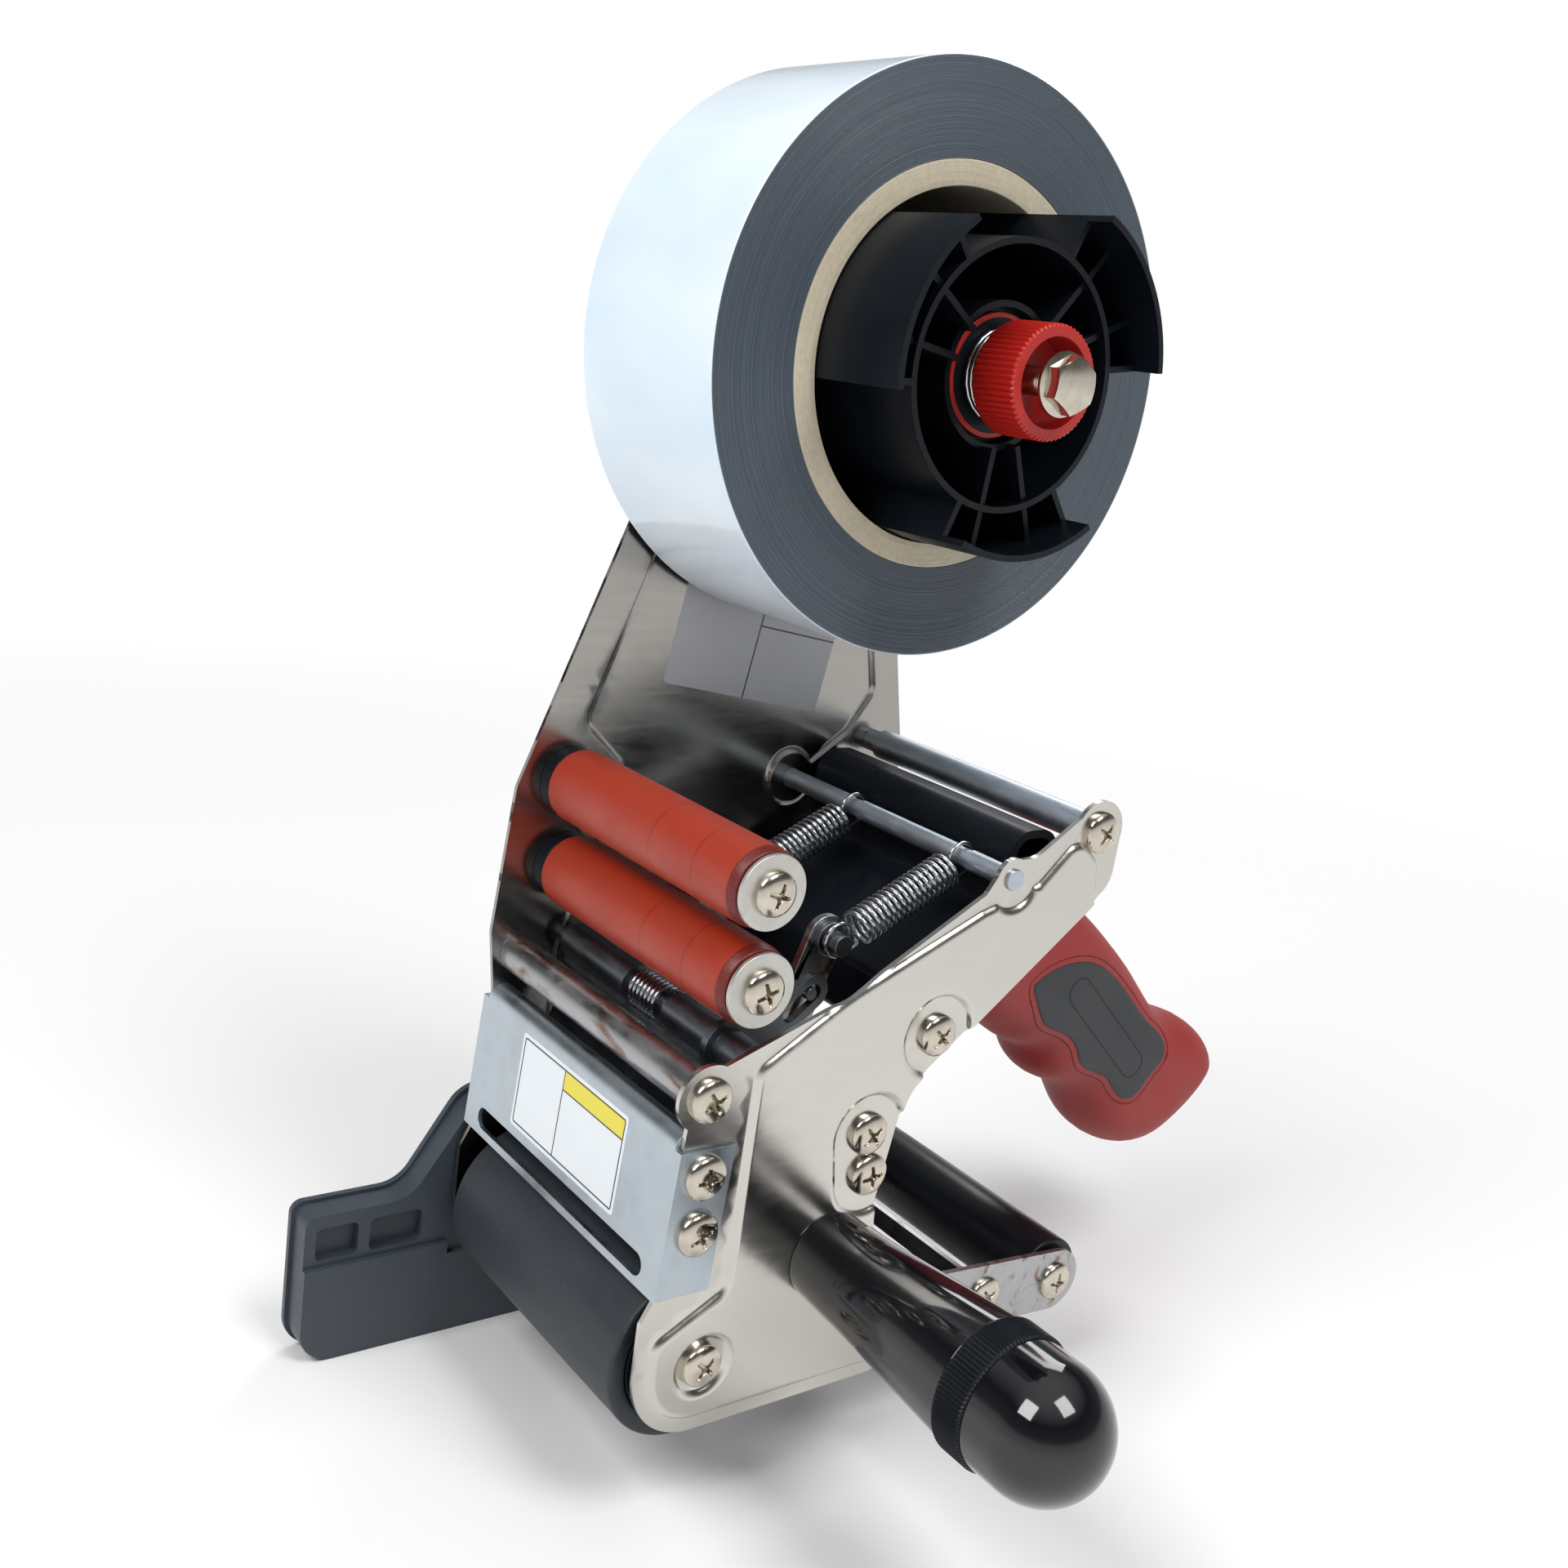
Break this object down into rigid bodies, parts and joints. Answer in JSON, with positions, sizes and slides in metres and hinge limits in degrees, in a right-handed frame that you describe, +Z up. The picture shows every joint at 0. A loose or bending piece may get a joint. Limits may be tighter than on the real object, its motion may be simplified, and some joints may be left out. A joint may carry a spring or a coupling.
{
  "type": "tape applicator",
  "caption": "Hand-held box sealing tape applicator with two side plates, a tape roll on a mandrel, rubber and silicone rollers, a sprung rocker, a guarded blade, a pistol grip and a side handle",
  "frame": {"origin": "on the axis of the tape roll, midway between the side plates", "axes": "+X along the roller axes towards the side handle, +Y back towards the pistol grip, +Z up"},
  "size_m": [0.1824, 0.2615, 0.3165],
  "materials": {
    "steel_plate": "satin bright stainless sheet with pressed beads",
    "zinc_steel": "zinc plated steel, lightly worn",
    "bright_steel": "bright plated steel",
    "nickel_screws": "nickel plated",
    "spring_steel": "bright spring wire",
    "galvanised_sheet": "galvanised sheet",
    "black_plastic": "moulded black plastic",
    "gloss_black_plastic": "polished black plastic",
    "guide_plastic": "dark grey moulded plastic",
    "red_plastic": "ribbed red plastic",
    "roller_rubber": "charcoal rubber",
    "red_silicone": "brick red silicone rubber",
    "red_grip_rubber": "matte red rubber",
    "grey_grip_panel": "dark grey rubber panel",
    "kraft_core": "wound kraft board",
    "packing_tape": "wound clear film",
    "brass_bush": "plain bearing brass"
  },
  "bodies": {
    "frame": {"near_side_plate": "steel_plate", "far_side_plate": "steel_plate", "front_cross_tube": "zinc_steel", "rear_cross_tube": "bright_steel", "spring_rod": "bright_steel", "rocker_pivot": "zinc_steel", "stop_bar": "zinc_steel", "frame_screws": "nickel_screws", "body_screws": "nickel_screws", "front_roller_axle": "zinc_steel", "guide_roller_axles": "zinc_steel", "guide_roller_collars": "black_plastic", "guide_roller_washers": "zinc_steel", "guide_roller_screws": "nickel_screws", "near_tension_spring": "spring_steel", "far_tension_spring": "spring_steel", "carriage_shaft": "bright_steel", "carriage_spring": "spring_steel", "blade_cover": "galvanised_sheet", "cover_screws": "nickel_screws", "body_shell": "black_plastic", "grip_rubber": "red_grip_rubber", "grip_panels": "grey_grip_panel", "grip_pins": "zinc_steel", "handle_stud": "zinc_steel", "handle_tube": "gloss_black_plastic", "handle_ring": "black_plastic", "handle_cap": "gloss_black_plastic", "mandrel_bolt": "nickel_screws", "mandrel_lock_nut": "nickel_screws", "brake_flange": "red_plastic", "brake_spring": "spring_steel", "side_guide": "guide_plastic", "guide_mount_screws": "nickel_screws"},
    "tape_mandrel": {"mandrel_hub": "black_plastic", "mandrel_bushes": "brass_bush", "tape_core": "kraft_core", "tape_roll": "packing_tape"},
    "brake_knob_body": {"brake_knob": "red_plastic"},
    "front_roller": {"front_roller_core": "black_plastic", "front_roller_rubber": "roller_rubber"},
    "upper_guide_roller": {"upper_guide_roller_core": "black_plastic", "upper_guide_roller_rubber": "red_silicone"},
    "lower_guide_roller": {"lower_guide_roller_core": "black_plastic", "lower_guide_roller_rubber": "red_silicone"},
    "rocker": {"rocker_tube": "zinc_steel", "rocker_arms": "zinc_steel", "rocker_crossbar": "zinc_steel", "near_lever": "zinc_steel", "far_lever": "zinc_steel", "lever_posts": "bright_steel", "rear_roller_axle": "zinc_steel", "rocker_screws": "nickel_screws"},
    "rear_roller": {"rear_roller_core": "black_plastic", "rear_roller_rubber": "roller_rubber"},
    "blade_carriage": {"blade_holder": "zinc_steel", "cutting_blade": "bright_steel", "blade_screws": "nickel_screws"}
  },
  "joints": [
    {"name": "mandrel_spin", "type": "hinge", "parent": "frame", "child": "tape_mandrel", "pos_m": [0, 0, 0], "axis": [1, 0, 0], "continuous": true},
    {"name": "brake_knob_turn", "type": "hinge", "parent": "frame", "child": "brake_knob_body", "pos_m": [0, 0, 0], "axis": [1, 0, 0], "range_deg": [-180, 180]},
    {"name": "front_roller_spin", "type": "hinge", "parent": "frame", "child": "front_roller", "pos_m": [0, -0.0562, -0.2137], "axis": [1, 0, 0], "continuous": true},
    {"name": "upper_guide_roller_spin", "type": "hinge", "parent": "frame", "child": "upper_guide_roller", "pos_m": [0, -0.053, -0.107], "axis": [1, 0, 0], "continuous": true},
    {"name": "lower_guide_roller_spin", "type": "hinge", "parent": "frame", "child": "lower_guide_roller", "pos_m": [0, -0.0524, -0.1284], "axis": [1, 0, 0], "continuous": true},
    {"name": "rocker_lift", "type": "hinge", "parent": "frame", "child": "rocker", "pos_m": [0, -0.0257, -0.1937], "axis": [1, 0, 0], "range_deg": [0, 6], "stiffness_Nm_per_rad": 3, "springref_deg": -8.59, "deforming": ["near_tension_spring", "far_tension_spring"]},
    {"name": "rear_roller_spin", "type": "hinge", "parent": "rocker", "child": "rear_roller", "pos_m": [0, 0.0593, -0.2239], "axis": [1, 0, 0], "continuous": true},
    {"name": "blade_retract", "type": "hinge", "parent": "frame", "child": "blade_carriage", "pos_m": [0, -0.049, -0.147], "axis": [1, 0, 0], "range_deg": [0, 9]}
  ],
  "couplings": [
    {"joint": "blade_retract", "follows": "rocker_lift", "ratio": 1.5}
  ]
}
